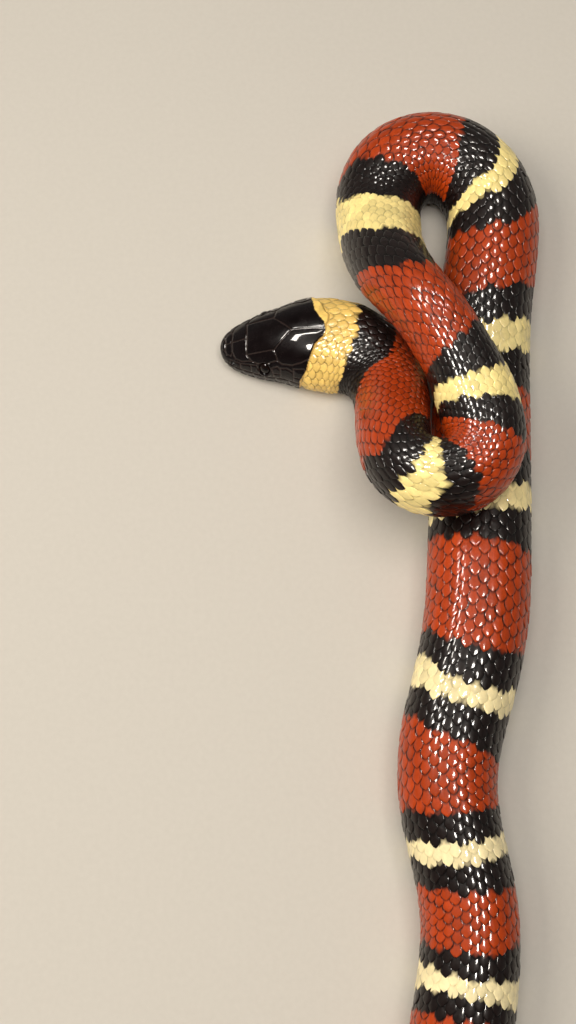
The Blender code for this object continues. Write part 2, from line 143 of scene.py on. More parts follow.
def rounded_section(s, angle):
    """Half of a cross-section, from the back at angle 0 to the belly at pi, flat where it lies."""
    half, top, low = width(s) / 2, height(s), chin(s)
    level = low + FLANK_LEVEL * (top - low)
    c, d = np.cos(angle), np.abs(np.sin(angle))
    upper = c >= 0
    power = np.where(upper, BACK_POWER, BELLY_POWER)
    reach = np.where(upper, top - level, (level - low) * BELLY_FLAT)
    x = half * d ** (2 / power)
    z = level + reach * np.sign(c) * np.abs(c) ** (2 / power)
    return x, np.maximum(z, low)


# The angle that each share of the girth falls at, for every place along the snake
station_count, share_count = 2600, 129
stations = np.linspace(0, math.sqrt(TAIL_END), station_count) ** 2
angles = np.linspace(0, math.pi, share_count)
xs, zs = rounded_section(stations[:, None], angles[None, :])
girth = np.cumsum(np.hypot(np.diff(xs, axis=1), np.diff(zs, axis=1)), axis=1)
girth = np.hstack([np.zeros((station_count, 1)), girth / girth[:, -1:]])
even_shares = np.linspace(0, 1, share_count)
angle_table = np.array([np.interp(even_shares, row, angles) for row in girth])


def section(s, g):
    """Points (x, z) of the cross-section at s, at the signed shares g of half its girth."""
    g = (g + 1) % 2 - 1
    row = np.clip(np.sqrt(np.clip(s, 0, TAIL_END) / TAIL_END) * (station_count - 1), 0, station_count - 1.001)
    column = np.clip(np.abs(g) * (share_count - 1), 0, share_count - 1.001)
    i, j = row.astype(int), column.astype(int)
    a, b = row - i, column - j
    front = angle_table[i, j] * (1 - b) + angle_table[i, j + 1] * b
    back = angle_table[i + 1, j] * (1 - b) + angle_table[i + 1, j + 1] * b
    x, z = rounded_section(s, front * (1 - a) + back * a)
    return np.where(g < 0, -x, x), z


def spot(s, x, z):
    """Points (x, z) of the section planes at s, in millimetres from the middle of the footprint."""
    turn = np.interp(s, travel, heading)
    steep = (lift(s + 0.05) - lift(s - 0.05)) / 0.1
    ahead = np.stack([np.cos(turn), np.sin(turn), steep], -1)
    ahead = ahead / np.linalg.norm(ahead, axis=-1, keepdims=True)
    side = np.stack([-np.sin(turn), np.cos(turn), np.zeros_like(turn)], -1)
    up = np.cross(ahead, side)
    belly = [np.interp(s, travel, course[:, k]) + SHIFT[k] for k in (0, 1)] + [lift(s)]
    return np.stack(belly, -1) + x[..., None] * side + z[..., None] * up


def on_body(s, g):
    return spot(s, *section(s, g))


def over_body(s, g, out):
    """Points of the body's surface at (s, g), moved outward by out."""
    ahead = on_body(np.minimum(s + 0.04, TAIL_END), g) - on_body(np.maximum(s - 0.04, 0.0), g)
    around = on_body(s, g + 0.004) - on_body(s, g - 0.004)
    normal = np.cross(ahead, around)
    normal = normal / np.maximum(np.linalg.norm(normal, axis=-1, keepdims=True), 1e-9)
    return on_body(s, g) + normal * out[..., None]


# Skin. The sleeve that runs from snout to tail tip in one piece. It is thin keratin over dark
# under-skin. Its shields on the head are moulded in it, rounded at the seams, and behind them it
# lies under the small scales, in the same rings of black, red and yellow.
SKIN_SUNK = 0.33
SHIELD_RISE = 0.25
SEAM_ROUNDING = 0.30
HEAD_AROUND, BODY_AROUND = 384, 48
SNOUT_RINGS, HEAD_RINGS, BODY_RINGS = 20, 150, 575
FINE_UNTIL = 22.2
EYE_S, EYE_X, EYE_Z, EYE_RADIUS = 9.2, 5.5, 5.6, 1.4
NOSTRIL_S, NOSTRIL_Z, NOSTRIL_RADIUS = 2.6, 3.95, 0.34
JAW_END = 17.2

# Where the shields end and the small scales begin, from the head's left round over its crown
SHIELDS_END = (
    (-1, 16.4), (-0.6, 16.3), (-0.45, 16.3), (-0.39, 17.0), (-0.33, 17.8), (-0.25, 18.3), (-0.17, 18.9),
    (-0.12, 19.4), (-0.06, 20.9), (-0.013, 21.3), (0.04, 21.15), (0.067, 21.5), (0.133, 21.4),
    (0.155, 20.7), (0.27, 19.5), (0.38, 18.0), (0.5, 17.6), (0.6, 17.2), (1, 16.4),
)
# Where black gives way to the collar, which takes in the rear of the right crown shield
COLLAR_FROM = (
    (-1, 16.4), (-0.6, 16.3), (-0.45, 16.3), (-0.39, 17.0), (-0.33, 17.8), (-0.25, 18.3), (-0.17, 18.9),
    (-0.12, 19.4), (-0.06, 20.9), (-0.013, 21.3), (0.06, 20.8), (0.1, 19.8), (0.17, 18.8),
    (0.34, 18.1), (0.5, 17.4), (1, 16.4),
)

# Edges between the coloured rings, from the snout, on the left flank, the back and the right flank.
# The rings go black, yellow, black, red over and over.
RINGS_SEEN = (
    (20.5, 20.5, 20.5), (30, 27.3, 25.4), (46.6, 38.6, 29.5), (60.5, 61.8, 56), (64.6, 66.6, 67.6),
    (68, 69.6, 68.1), (71.7, 72.8, 70), (80.2, 81, 85.4), (86, 86.7, 88.9), (92.8, 91.9, 92.8),
    (103.2, 99.4, 98), (114, 113.6, 120), (120.5, 123.1, 130), (134.5, 134.6, 141),
    (150.6, 150.6, 147), (175.5, 168, 167), (182.8, 177, 170), (187, 182.2, 174.3),
    (191.8, 190.4, 182.4), (208, 205.2, 200.2), (213.7, 212.8, 209), (220.8, 219.6, 216),
    (227.8, 226.6, 225.2), (241.8, 240.2, 238.8), (249.9, 247.5, 245.2), (253.5, 252.6, 250.1),
    (257, 258.4, 258.7), (276.6, 279.2, 277.3), (282.2, 286.3, 284.6), (288.2, 290.8, 289.4),
    (293.4, 296.9, 298.8), (308, 310.4, 308.7), (313, 315.6, 314.6), (316.1, 319.4, 318),
    (320.8, 324.4, 323.3), (333, 334.4, 331.5), (336.6, 339, 337.3), (340.7, 341.8, 342),
    (344.9, 345.8, 346.5),
)
FLANK_SHARE = 0.38
BEND_RED_RING, BEND_RED_TO = 15, -0.47
REPEAT_RED, REPEAT_BLACK, REPEAT_YELLOW = 14.5, 5.6, 4.6
RING_HEX = ("#191110", "#f9e69c", "#191110", "#ab3c0e")
CROWN_HEX, COLLAR_HEX, REAR_YELLOW_HEX = "#0e0809", "#f2cf76", "#f3e5b6"
PALER_FROM, PALER_TO = 190.0, 300.0

# Corners of the shields: (s, x) on the crown, (s, z) on the sides
CROWN_MIDDLE = (
    ((0.14, 0.7), (0.8, 1.3), (1.0, 0), (0.8, -1.3), (0.14, -0.7)),
    ((5.4, 0), (5.35, 3.35), (10.9, 3.5), (14.5, 0), (10.9, -3.5), (5.35, -3.35)),
)
CROWN_PAIRED = (
    ((1.05, 0), (2.3, 0), (2.4, 2.0), (2.0, 2.6), (1.3, 2.2), (0.9, 1.3)),
    ((2.3, 0), (5.4, 0), (5.35, 3.35), (6.3, 4.6), (4.4, 4.2), (3.0, 3.4), (2.4, 2.0)),
    ((5.35, 3.35), (10.9, 3.5), (11.5, 5.5), (9.4, 5.6), (7.4, 5.2), (6.3, 4.6)),
)
CROWN_REAR = (
    (
        (14.5, 0), (21.15, 0), (21.15, 1.1), (21.5, 1.8), (21.4, 3.5), (20.7, 4.1), (19.6, 6.9),
        (18.2, 7.5), (16.6, 6.7), (14.6, 6.8), (12.4, 6.2), (11.5, 5.5), (10.9, 3.5),
    ),
    (
        (14.5, 0), (21.25, 0), (20.9, -1.6), (19.4, -3.2), (18.9, -4.5), (18.3, -6.1), (16.6, -6.6),
        (14.6, -6.8), (12.4, -6.2), (11.5, -5.5), (10.9, -3.5),
    ),
)
CHEEK = (
    ((1.75, 3.3), (1.9, 4.0), (3.0, 4.45), (4.0, 4.8), (4.05, 3.65), (2.7, 3.35)),
    ((4.05, 3.65), (4.05, 4.8), (6.15, 5.6), (6.15, 4.0)),
    ((6.15, 4.0), (6.15, 5.6), (7.3, 6.1), (7.8, 5.4), (7.8, 4.15)),
    ((10.7, 4.5), (10.6, 5.65), (12.05, 5.95), (12.05, 4.7)),
    ((10.6, 5.65), (10.3, 6.7), (11.5, 7.4), (12.05, 6.9), (12.05, 5.95)),
    ((12.05, 4.75), (12.05, 7.2), (13.4, 7.7), (14.85, 7.6), (14.85, 5.2)),
    ((14.85, 6.55), (14.85, 8.2), (17.2, 8.9), (17.8, 7.0)),
    ((14.85, 5.2), (14.85, 6.55), (17.8, 6.95), (17.8, 5.25)),
)
UPPER_LIP = ((1.25, 3.1), (2.7, 3.3), (4.5, 3.6), (6.6, 3.95), (8.8, 4.05), (11.1, 4.4), (13.9, 4.9), (16.9, 5.1))
LOWER_LIP = (2.3, 3.8, 5.4, 7.1, 8.9, 10.9, 13.1, 15.0, 16.5)
LOWER_LIP_DEPTH = 1.25
CHIN_SHIELDS = (
    ((1.4, 0), (2.4, 1.1)), ((1.9, 0), (11.2, 0)), ((2.4, 1.1), (6.8, 2.6), (11.2, 2.0)), ((6.8, 0), (6.8, 2.6)),
    ((11.2, 0), (11.2, 2.0)), ((11.2, 2.0), (13.0, 4.4)), ((11.2, 0), (14.6, 3.2), (17.2, 5.4)),
    ((13.4, 0), (17.2, 3.4)), ((13.4, 2.1), (11.9, 3.2)), ((15.2, 0), (17.2, 1.8)), ((15.4, 1.9), (12.8, 4.3)),
)


def linear(hex_code):
    """An sRGB hex colour as linear red, green, blue and alpha."""
    parts = [int(hex_code[i:i + 2], 16) / 255 for i in (1, 3, 5)]
    return tuple(p / 12.92 if p <= 0.04045 else ((p + 0.055) / 1.055) ** 2.4 for p in parts) + (1.0,)


def ring_edges():
    """Every ring's edge as its places on the left flank, the back and the right flank."""
    edges = [list(edge) for edge in RINGS_SEEN]
    widths = (REPEAT_RED, REPEAT_BLACK, REPEAT_YELLOW, REPEAT_BLACK)
    step = 0
    back = edges[-1][1]
    while back < 735:
        taper = 1.0 if back < 600 else 0.8
        sway = 1.0 + 0.12 * math.sin(2.3 * step)
        back += widths[step % 4] * sway * taper
        left, right = 1.1 * math.sin(1.7 * step) - 0.9, 1.1 * math.sin(2.9 * step + 1) - 0.9
        edges.append([back + left * taper, back, back + right * taper])
        step += 1
    return np.array(edges)


edges = ring_edges()
ring_colours = np.array([linear(code) for code in RING_HEX])
crown_colour, collar_colour, rear_yellow = np.array([linear(c) for c in (CROWN_HEX, COLLAR_HEX, REAR_YELLOW_HEX)])


def shields_end(g):
    return np.interp((g + 1) % 2 - 1, *zip(*SHIELDS_END))


def marking(s, g, on_scales=False):
    """Colour of the ring at (s, g). No small scale is black in front of the collar.

    Inside the tight bend of the loop the two black rings meet below the red one."""
    collar_from = np.interp((g + 1) % 2 - 1, *zip(*COLLAR_FROM))
    t = np.clip(g / FLANK_SHARE, -1.1, 1.1)
    weights = np.stack([t * (t - 1) / 2, 1 - t**2, t * (t + 1) / 2], -1)
    ring = (weights @ edges.T < s[:, None]).sum(axis=1)
    ring = np.where(ring <= 1, np.where((s > collar_from) | on_scales, 1, 0), ring)
    ring = np.where((ring == BEND_RED_RING) & (g < BEND_RED_TO), BEND_RED_RING + 1, ring)
    colour = ring_colours[ring % 4]
    paler = np.clip((s - PALER_FROM) / (PALER_TO - PALER_FROM), 0, 1)[:, None]
    colour = np.where((ring % 4 == 1)[:, None], colour + (rear_yellow - colour) * paler, colour)
    colour = np.where((ring == 1)[:, None], collar_colour, colour)
    return np.where((ring == 0)[:, None], crown_colour, colour)


def seam_points(corners, closed, to_share, step=0.05):
    """Points every step along an outline drawn on the head."""
    ring = list(corners) + ([corners[0]] if closed else [])
    out = []
    for (s0, v0), (s1, v1) in zip(ring[:-1], ring[1:]):
        count = max(2, int(math.hypot(s1 - s0, v1 - v0) / step))
        for t in np.arange(count) / count:
            s = s0 + (s1 - s0) * t
            out.append((s, to_share(s, v0 + (v1 - v0) * t)))
    return out


def share_at_x(s, x, under=False):
    i = min(int(math.sqrt(s / TAIL_END) * (station_count - 1)), station_count - 1)
    widest = share_count // 2
    if under:
        return math.copysign(float(np.interp(-abs(x), -xs[i, widest:], girth[i, widest:])), x + 1e-9)
    return math.copysign(float(np.interp(abs(x), xs[i, :widest + 1], girth[i, :widest + 1])), x)


def share_at_z(s, z):
    i = min(int(math.sqrt(s / TAIL_END) * (station_count - 1)), station_count - 1)
    return float(np.interp(-z, -zs[i], girth[i]))


def nearest(points, places):
    """Distance from each point to the nearest of the places (s, g)."""
    s, g = np.array(places).T
    tree = kdtree.KDTree(len(s))
    for i, p in enumerate(on_body(s, g)):
        tree.insert(p, i)
    tree.balance()
    return np.array([tree.find(p)[2] for p in points])


seams = []
for corners in CROWN_MIDDLE + CROWN_REAR:
    seams += seam_points(corners, True, share_at_x)
for corners in CROWN_PAIRED:
    seams += seam_points(corners, True, share_at_x)
    seams += seam_points([(s, -x) for s, x in corners], True, share_at_x)
cheek_lines = [(corners, True) for corners in CHEEK] + [(UPPER_LIP, False)]
cheek_lines += [(((s, float(mouth(s))), (s, z)), False) for s, z in UPPER_LIP]
lower_edge = [(s, max(float(mouth(s)) - 0.28 - LOWER_LIP_DEPTH, float(chin(s)) + 0.25)) for s in LOWER_LIP]
cheek_lines += [(lower_edge, False)] + [(((s, z), (s, float(mouth(s)))), False) for s, z in lower_edge]
for corners, closed in cheek_lines:
    one_side = seam_points(corners, closed, share_at_z)
    seams += one_side + [(s, -g) for s, g in one_side]
for corners in CHIN_SHIELDS:
    one_side = seam_points(corners, False, lambda s, x: share_at_x(s, x, True))
    seams += one_side + [(s, -g) for s, g in one_side]
mouth_line = [(s, share_at_z(s, float(mouth(s)))) for s in np.arange(0.05, JAW_END, 0.05)]
mouth_line += [(s, -g) for s, g in mouth_line]


def head_relief(s, g):
    """How far the head's skin stands out: shields rounded at their seams, mouth, nostrils and lids."""
    points = on_body(s, g)
    seam = np.hypot(nearest(points, seams), 0.03) - 0.03
    rim = 1 - np.clip(seam / SEAM_ROUNDING, 0, 1)
    shields = SHIELD_RISE * np.sqrt(1 - rim**2) + 0.03 * ease(seam / 1.6)
    shields -= (SHIELD_RISE + 0.05) * ease((np.abs(g) - 0.6) / 0.12)
    under = ease((s - shields_end(g) + 0.1) / 0.45)
    out = shields * (1 - under) - SKIN_SUNK * under
    out -= 0.42 * np.exp(-(nearest(points, mouth_line) / 0.16) ** 2)
    for side in (1, -1):
        eye = spot(np.array([EYE_S]), np.array([side * EYE_X]), np.array([EYE_Z]))
        far = np.linalg.norm(points - eye, axis=1)
        out += 0.13 * np.exp(-((far - 1.72) / 0.17) ** 2) - 0.9 * ease((1.62 - far) / 0.3)
        nostril = on_body(np.array([NOSTRIL_S]), np.array([side * share_at_z(NOSTRIL_S, NOSTRIL_Z)]))
        far = np.linalg.norm(points - nostril, axis=1)
        out += 0.05 * np.exp(-((far - 0.5) / 0.12) ** 2) - 0.5 * np.exp(-(far / NOSTRIL_RADIUS) ** 4)
    return out


def ring_faces(first, second, count):
    i = np.arange(count)
    j = (i + 1) % count
    return np.stack([first + i, first + j, second + j, second + i], 1).tolist()


snout = np.linspace(0.08, 1.0, SNOUT_RINGS, endpoint=False) ** 2
head_places = np.append(snout, np.linspace(1.0, FINE_UNTIL, HEAD_RINGS))
body_places = np.linspace(FINE_UNTIL, TAIL_END, BODY_RINGS + 1)[1:]
head_shares = (np.arange(HEAD_AROUND) * 2 / HEAD_AROUND + 1) % 2 - 1
body_shares = (np.arange(BODY_AROUND) * 2 / BODY_AROUND + 1) % 2 - 1
s_head, g_head = (a.ravel() for a in np.meshgrid(head_places, head_shares, indexing="ij"))
s_body, g_body = (a.ravel() for a in np.meshgrid(body_places, body_shares, indexing="ij"))
sunk = -SKIN_SUNK * (1 - ease((s_body - 738) / 6)) * np.minimum(1, width(s_body) / 4)
skin_points = [over_body(s_head, g_head, head_relief(s_head, g_head)), over_body(s_body, g_body, sunk)]
tips = on_body(np.array([0.0, TAIL_END]), np.array([0.0, 0.0]))
tips[0, 2] = 2.95
tips[1, 2] = 0.6
skin_points = np.vstack(skin_points + [tips])
skin_s = np.concatenate([s_head, s_body, [0.0, TAIL_END]])
skin_g = np.concatenate([g_head, g_body, [0.0, 0.0]])

faces = []
for ring in range(len(head_places) - 1):
    faces += ring_faces(ring * HEAD_AROUND, (ring + 1) * HEAD_AROUND, HEAD_AROUND)
last_fine = (len(head_places) - 1) * HEAD_AROUND
first_coarse = len(s_head)
per = HEAD_AROUND // BODY_AROUND
for j in range(BODY_AROUND):
    here, there = first_coarse + j, first_coarse + (j + 1) % BODY_AROUND
    fine = [last_fine + (j * per + k) % HEAD_AROUND for k in range(per + 1)]
    for k in range(per):
        faces.append([fine[k], fine[k + 1], here if k < per // 2 else there])
    faces.append([fine[per // 2], there, here])
for ring in range(len(body_places) - 1):
    faces += ring_faces(first_coarse + ring * BODY_AROUND, first_coarse + (ring + 1) * BODY_AROUND, BODY_AROUND)
snout_tip, tail_tip = len(skin_points) - 2, len(skin_points) - 1
last_coarse = first_coarse + (len(body_places) - 1) * BODY_AROUND
faces += [[(i + 1) % HEAD_AROUND, i, snout_tip] for i in range(HEAD_AROUND)]
faces += [[last_coarse + i, last_coarse + (i + 1) % BODY_AROUND, tail_tip] for i in range(BODY_AROUND)]


def new_object(name, mesh):
    made = bpy.data.objects.new(name, mesh)
    bpy.context.scene.collection.objects.link(made)
    return made


def paint(mesh, colours):
    layer = mesh.attributes.new("marking", "FLOAT_COLOR", "POINT")
    layer.data.foreach_set("color", np.asarray(colours, np.float32).ravel())


def add(tree, kind, place=(0, 0), links=(), **settings):
    """Add a node, with its settings, the values of its inputs by name, and its links."""
    node = tree.nodes.new(kind)
    node.location = place
    for key, value in settings.pop("inputs", {}).items():
        node.inputs[key].default_value = value
    for key, value in settings.items():
        setattr(node, key, value)
    for source, target in links:
        tree.links.new(source, node.inputs[target])
    return node


# Head shields: keratin, grown smooth and thin over dark under-skin, so almost a mirror, with a deep purple cast in the
# black and very faint growth mottling. Their seams are painted a brownish line, paler than the black and darker than
# the collar: partly the bare skin there, partly a painted highlight of the light the seams catch.
SEAM_SKIN_AND_HIGHLIGHT_HEX, SEAM_LINE, SEAM_SKIN_AND_HIGHLIGHT_SHARE = "#4c3d38", 0.09, 0.42


def smooth_keratin():
    material = bpy.data.materials.new("smooth_head_keratin")
    material.use_nodes = True
    tree = material.node_tree
    shader = tree.nodes["Principled BSDF"]
    ring = add(tree, "ShaderNodeAttribute", (-900, 200), attribute_name="marking")
    where = add(tree, "ShaderNodeTexCoord", (-1100, -100))
    cloud = add(tree, "ShaderNodeTexNoise", (-900, -60), [(where.outputs["Object"], "Vector")],
                inputs={"Scale": 420.0, "Detail": 4.0, "Roughness": 0.6})
    span = add(tree, "ShaderNodeMapRange", (-680, -60), [(cloud.outputs["Fac"], "Value")],
               inputs={"From Min": 0.3, "From Max": 0.7, "To Min": 0.75, "To Max": 1.35})
    tint = add(tree, "ShaderNodeVectorMath", (-440, 160),
               [(ring.outputs["Color"], 0), (span.outputs["Result"], "Scale")], operation="SCALE")
    tree.links.new(tint.outputs["Vector"], shader.inputs["Base Color"])
    rough = add(tree, "ShaderNodeMapRange", (-440, -120), [(cloud.outputs["Fac"], "Value")],
                inputs={"From Min": 0.3, "From Max": 0.7, "To Min": 0.22, "To Max": 0.34})
    tree.links.new(rough.outputs["Result"], shader.inputs["Roughness"])
    grain = add(tree, "ShaderNodeTexNoise", (-900, -320), [(where.outputs["Object"], "Vector")],
                inputs={"Scale": 2600.0, "Detail": 3.0})
    bump = add(tree, "ShaderNodeBump", (-440, -320), [(grain.outputs["Fac"], "Height")],
               inputs={"Strength": 0.06, "Distance": 0.0001})
    tree.links.new(bump.outputs["Normal"], shader.inputs["Normal"])
    shader.inputs["IOR"].default_value = 1.5
    shader.inputs["Specular IOR Level"].default_value = 0.05
    shader.inputs["Coat Weight"].default_value = 0.9
    shader.inputs["Coat Roughness"].default_value = 0.05
    shader.inputs["Coat IOR"].default_value = 1.38
    return material


skin_mesh = bpy.data.meshes.new("skin")
skin_mesh.from_pydata((skin_points * MM).tolist(), [], faces)
skin_mesh.shade_smooth()
skin_colour = marking(skin_s, skin_g)
# Seam lines on the head: partly bare skin, partly painted highlight
seam_skin_and_highlight = SEAM_SKIN_AND_HIGHLIGHT_SHARE * np.exp(-(nearest(on_body(s_head, g_head), seams) / SEAM_LINE) ** 2)
crown_tint = skin_colour[:len(s_head)]
skin_colour[:len(s_head)] = crown_tint + (np.array(linear(SEAM_SKIN_AND_HIGHLIGHT_HEX)) - crown_tint) * seam_skin_and_highlight[:, None]
paint(skin_mesh, skin_colour)
skin = new_object("skin", skin_mesh)
skin_mesh.materials.append(smooth_keratin())
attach(skin, "root")
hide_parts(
    "head", "lower_jaw", "neck", "body_1", "body_2", "body_3", "body_4", "body_5", "body_6",
    "body_7", "body_8", "tail_base", "tail_tip",
)

# Eyes. Lidless, each under a clear scale that is one with the skin, so they are wet and glossy:
# a round pupil in an iris so dark that it hardly parts from it.
EYE_SEGMENTS, EYE_ROWS = 48, 32


def eye_material():
    material = bpy.data.materials.new("wet_spectacle_over_dark_iris")
    material.use_nodes = True
    tree = material.node_tree
    shader = tree.nodes["Principled BSDF"]
    lie = add(tree, "ShaderNodeAttribute", (-900, 0), attribute_name="from_pupil")
    where = add(tree, "ShaderNodeTexCoord", (-900, -200))
    fleck = add(tree, "ShaderNodeTexNoise", (-700, -200), [(where.outputs["Object"], "Vector")],
                inputs={"Scale": 3500.0, "Detail": 2.0})
    iris = add(tree, "ShaderNodeMix", (-450, -200), [(fleck.outputs["Fac"], "Factor")], data_type="RGBA")
    iris.inputs["A"].default_value = linear("#0c0706")
    iris.inputs["B"].default_value = linear("#1a0e0b")
    edge = add(tree, "ShaderNodeMapRange", (-650, 0), [(lie.outputs["Fac"], "Value")],
               inputs={"From Min": 0.44, "From Max": 0.5})
    colour = add(tree, "ShaderNodeMix", (-250, 0),
                 [(edge.outputs["Result"], "Factor"), (iris.outputs["Result"], "B")], data_type="RGBA")
    colour.inputs["A"].default_value = linear("#060506")
    tree.links.new(colour.outputs["Result"], shader.inputs["Base Color"])
    shader.inputs["Roughness"].default_value = 0.12
    shader.inputs["IOR"].default_value = 1.4
    shader.inputs["Specular IOR Level"].default_value = 0.1
    shader.inputs["Coat Weight"].default_value = 0.8
    shader.inputs["Coat Roughness"].default_value = 0.02
    shader.inputs["Coat IOR"].default_value = 1.36
    return material


wet_eye = eye_material()
for side, name in ((1, "eye_right"), (-1, "eye_left")):
    centre = spot(np.array([EYE_S]), np.array([side * EYE_X]), np.array([EYE_Z]))[0]
    work = bmesh.new()
    bmesh.ops.create_uvsphere(work, u_segments=EYE_SEGMENTS, v_segments=EYE_ROWS, radius=EYE_RADIUS)
    mesh = bpy.data.meshes.new(name + "_ball")
    work.to_mesh(mesh)
    work.free()
    round_points = np.array([v.co for v in mesh.vertices])
    outward = np.array([-0.12, side * 0.92, 0.36])
    outward = outward / np.linalg.norm(outward)
    aside = np.arccos(np.clip(round_points @ outward / EYE_RADIUS, -1, 1))
    layer = mesh.attributes.new("from_pupil", "FLOAT", "POINT")
    layer.data.foreach_set("value", aside.astype(np.float32))
    mesh.vertices.foreach_set("co", ((round_points + centre) * MM).ravel())
    mesh.shade_smooth()
    mesh.materials.append(wet_eye)
    eye = new_object(name + "_ball", mesh)
    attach(eye, "root")
    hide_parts(name)

# Back scales. Thin smooth plates of keratin that grow out of the skin in slanting rows, each over
# the front of the next ones, with a rounded rear tip. They take the colour of the ring they grow in.
OVERLAP = 1.45
PITCH = (
    (0, 2.2), (20, 2.1), (40, 2.05), (52, 2.0), (62, 1.55), (76, 1.45), (86, 1.9), (96, 2.3), (109, 2.45),
    (140, 2.5), (158, 2.55), (172, 2.6), (197, 3.1), (230, 3.0), (270, 2.9), (302, 2.45), (328, 2.3), (350, 2.5), (440, 3.0), (600, 2.75),
    (640, 2.5), (690, 2.0), (746, 1.3),
)
BELLY_SHARE = 0.73
SCALE_WIDEST, WIDEST_AT = 0.66, 0.7
SCALE_RISE = (-0.31, -0.09)
RIM_DROP, PLATE_THICK, CROWN = 0.11, 0.2, 0.11
WOBBLE = 0.06
EDGE_LEAN = 0.42
SEED = 7
COATS = (
    ("nape_scales", ((16.0, 86.0, 21),)),
    ("neck_scales", ((86.0, 200.0, 21),)),
    ("fore_body_scales", ((200.0, 335.0, 21),)),
    ("mid_body_scales", ((335.0, 490.0, 21),)),
    ("hind_body_scales", ((490.0, 545.0, 21), (545.0, 628.0, 19))),
    ("tail_scales", (
        (628.0, 646.0, 17), (646.0, 662.0, 15), (662.0, 678.0, 13), (678.0, 694.0, 11),
        (694.0, 712.0, 9), (712.0, 730.0, 7), (730.0, 743.5, 5),
    )),
)

pitch_at = np.interp(stations, *zip(*PITCH))
row_table = np.append(0.0, np.cumsum(np.diff(stations) * 2 / (pitch_at[1:] + pitch_at[:-1])))


def place_of_row(row):
    return np.interp(row, row_table, stations)


def row_of_place(s):
    return float(np.interp(s, stations, row_table))


def share_of_column(column, columns):
    """Share of girth at a place across the back rows, of which the lowest two are the widest."""
    half = (columns - 1) // 2
    breadth = np.append(0.5, 1 + 0.5 * np.clip(np.arange(1, half + 2) / half - 0.4, 0, 1) / 0.6)
    shares = np.append(0.0, np.cumsum(breadth))
    shares *= BELLY_SHARE / shares[-2]
    bounds = np.append(0.0, np.arange(half + 2) + 0.5)
    return np.sign(column) * np.interp(np.abs(column), bounds, shares)


def half_breadth(v):
    """Outline of a scale: half its breadth at v, from its root at 0 to its tip at 1."""
    back = np.clip((v - WIDEST_AT) / (1 - WIDEST_AT), 0, 1)
    front = 1 - 0.4 * np.clip((WIDEST_AT - v) / WIDEST_AT, 0, 1) ** 2
    return SCALE_WIDEST * (1 - back**1.3) ** 0.9 * front


def open_from(across):
    """How far back from its root a scale is covered by the three scales in front of it."""
    v = np.linspace(WIDEST_AT, 1, 200)
    reach = np.interp([across, 1 - across], half_breadth(v)[::-1], v[::-1], right=0)
    return max(reach[0] - 1 / OVERLAP, reach[1] - 0.5 / OVERLAP, 0.0)


def keratin_mesh(name, points, faces):
    mesh = bpy.data.meshes.new(name)
    mesh.from_pydata(points, [], faces)
    mesh.shade_smooth()
    return mesh


def scale_mesh():
    """One back scale: x across in rows, y along in rows, z outward in millimetres."""
    v = np.array([0.0, 0.35, 0.68, 0.76, 0.83, 0.89, 0.94, 0.975])
    right = [(half_breadth(t), t) for t in v]
    outline = np.array(right + [(0.0, 1.0)] + [(-x, t) for x, t in reversed(right)])
    middle = np.array([0.0, 0.55])
    count = len(outline)
    points = []
    for share, drop in ((1.0, PLATE_THICK), (1.0, RIM_DROP), (0.93, 0.04), (0.79, 0.006)):
        ring = middle + (outline - middle) * share
        top = SCALE_RISE[0] + (SCALE_RISE[1] - SCALE_RISE[0]) * ring[:, 1]
        points += [(x, t * OVERLAP, z - drop) for (x, t), z in zip(ring, top)]
    top = SCALE_RISE[0] + (SCALE_RISE[1] - SCALE_RISE[0]) * middle[1]
    points.append((middle[0], middle[1] * OVERLAP, top + CROWN))
    faces = [list(range(count))[::-1]]
    for level in range(3):
        for i in range(count):
            j = (i + 1) % count
            a = level * count
            faces.append([a + i, a + j, a + count + j, a + count + i])
    faces += [[3 * count + i, 3 * count + (i + 1) % count, 4 * count] for i in range(count)]
    return keratin_mesh("scale_shape", points, faces)


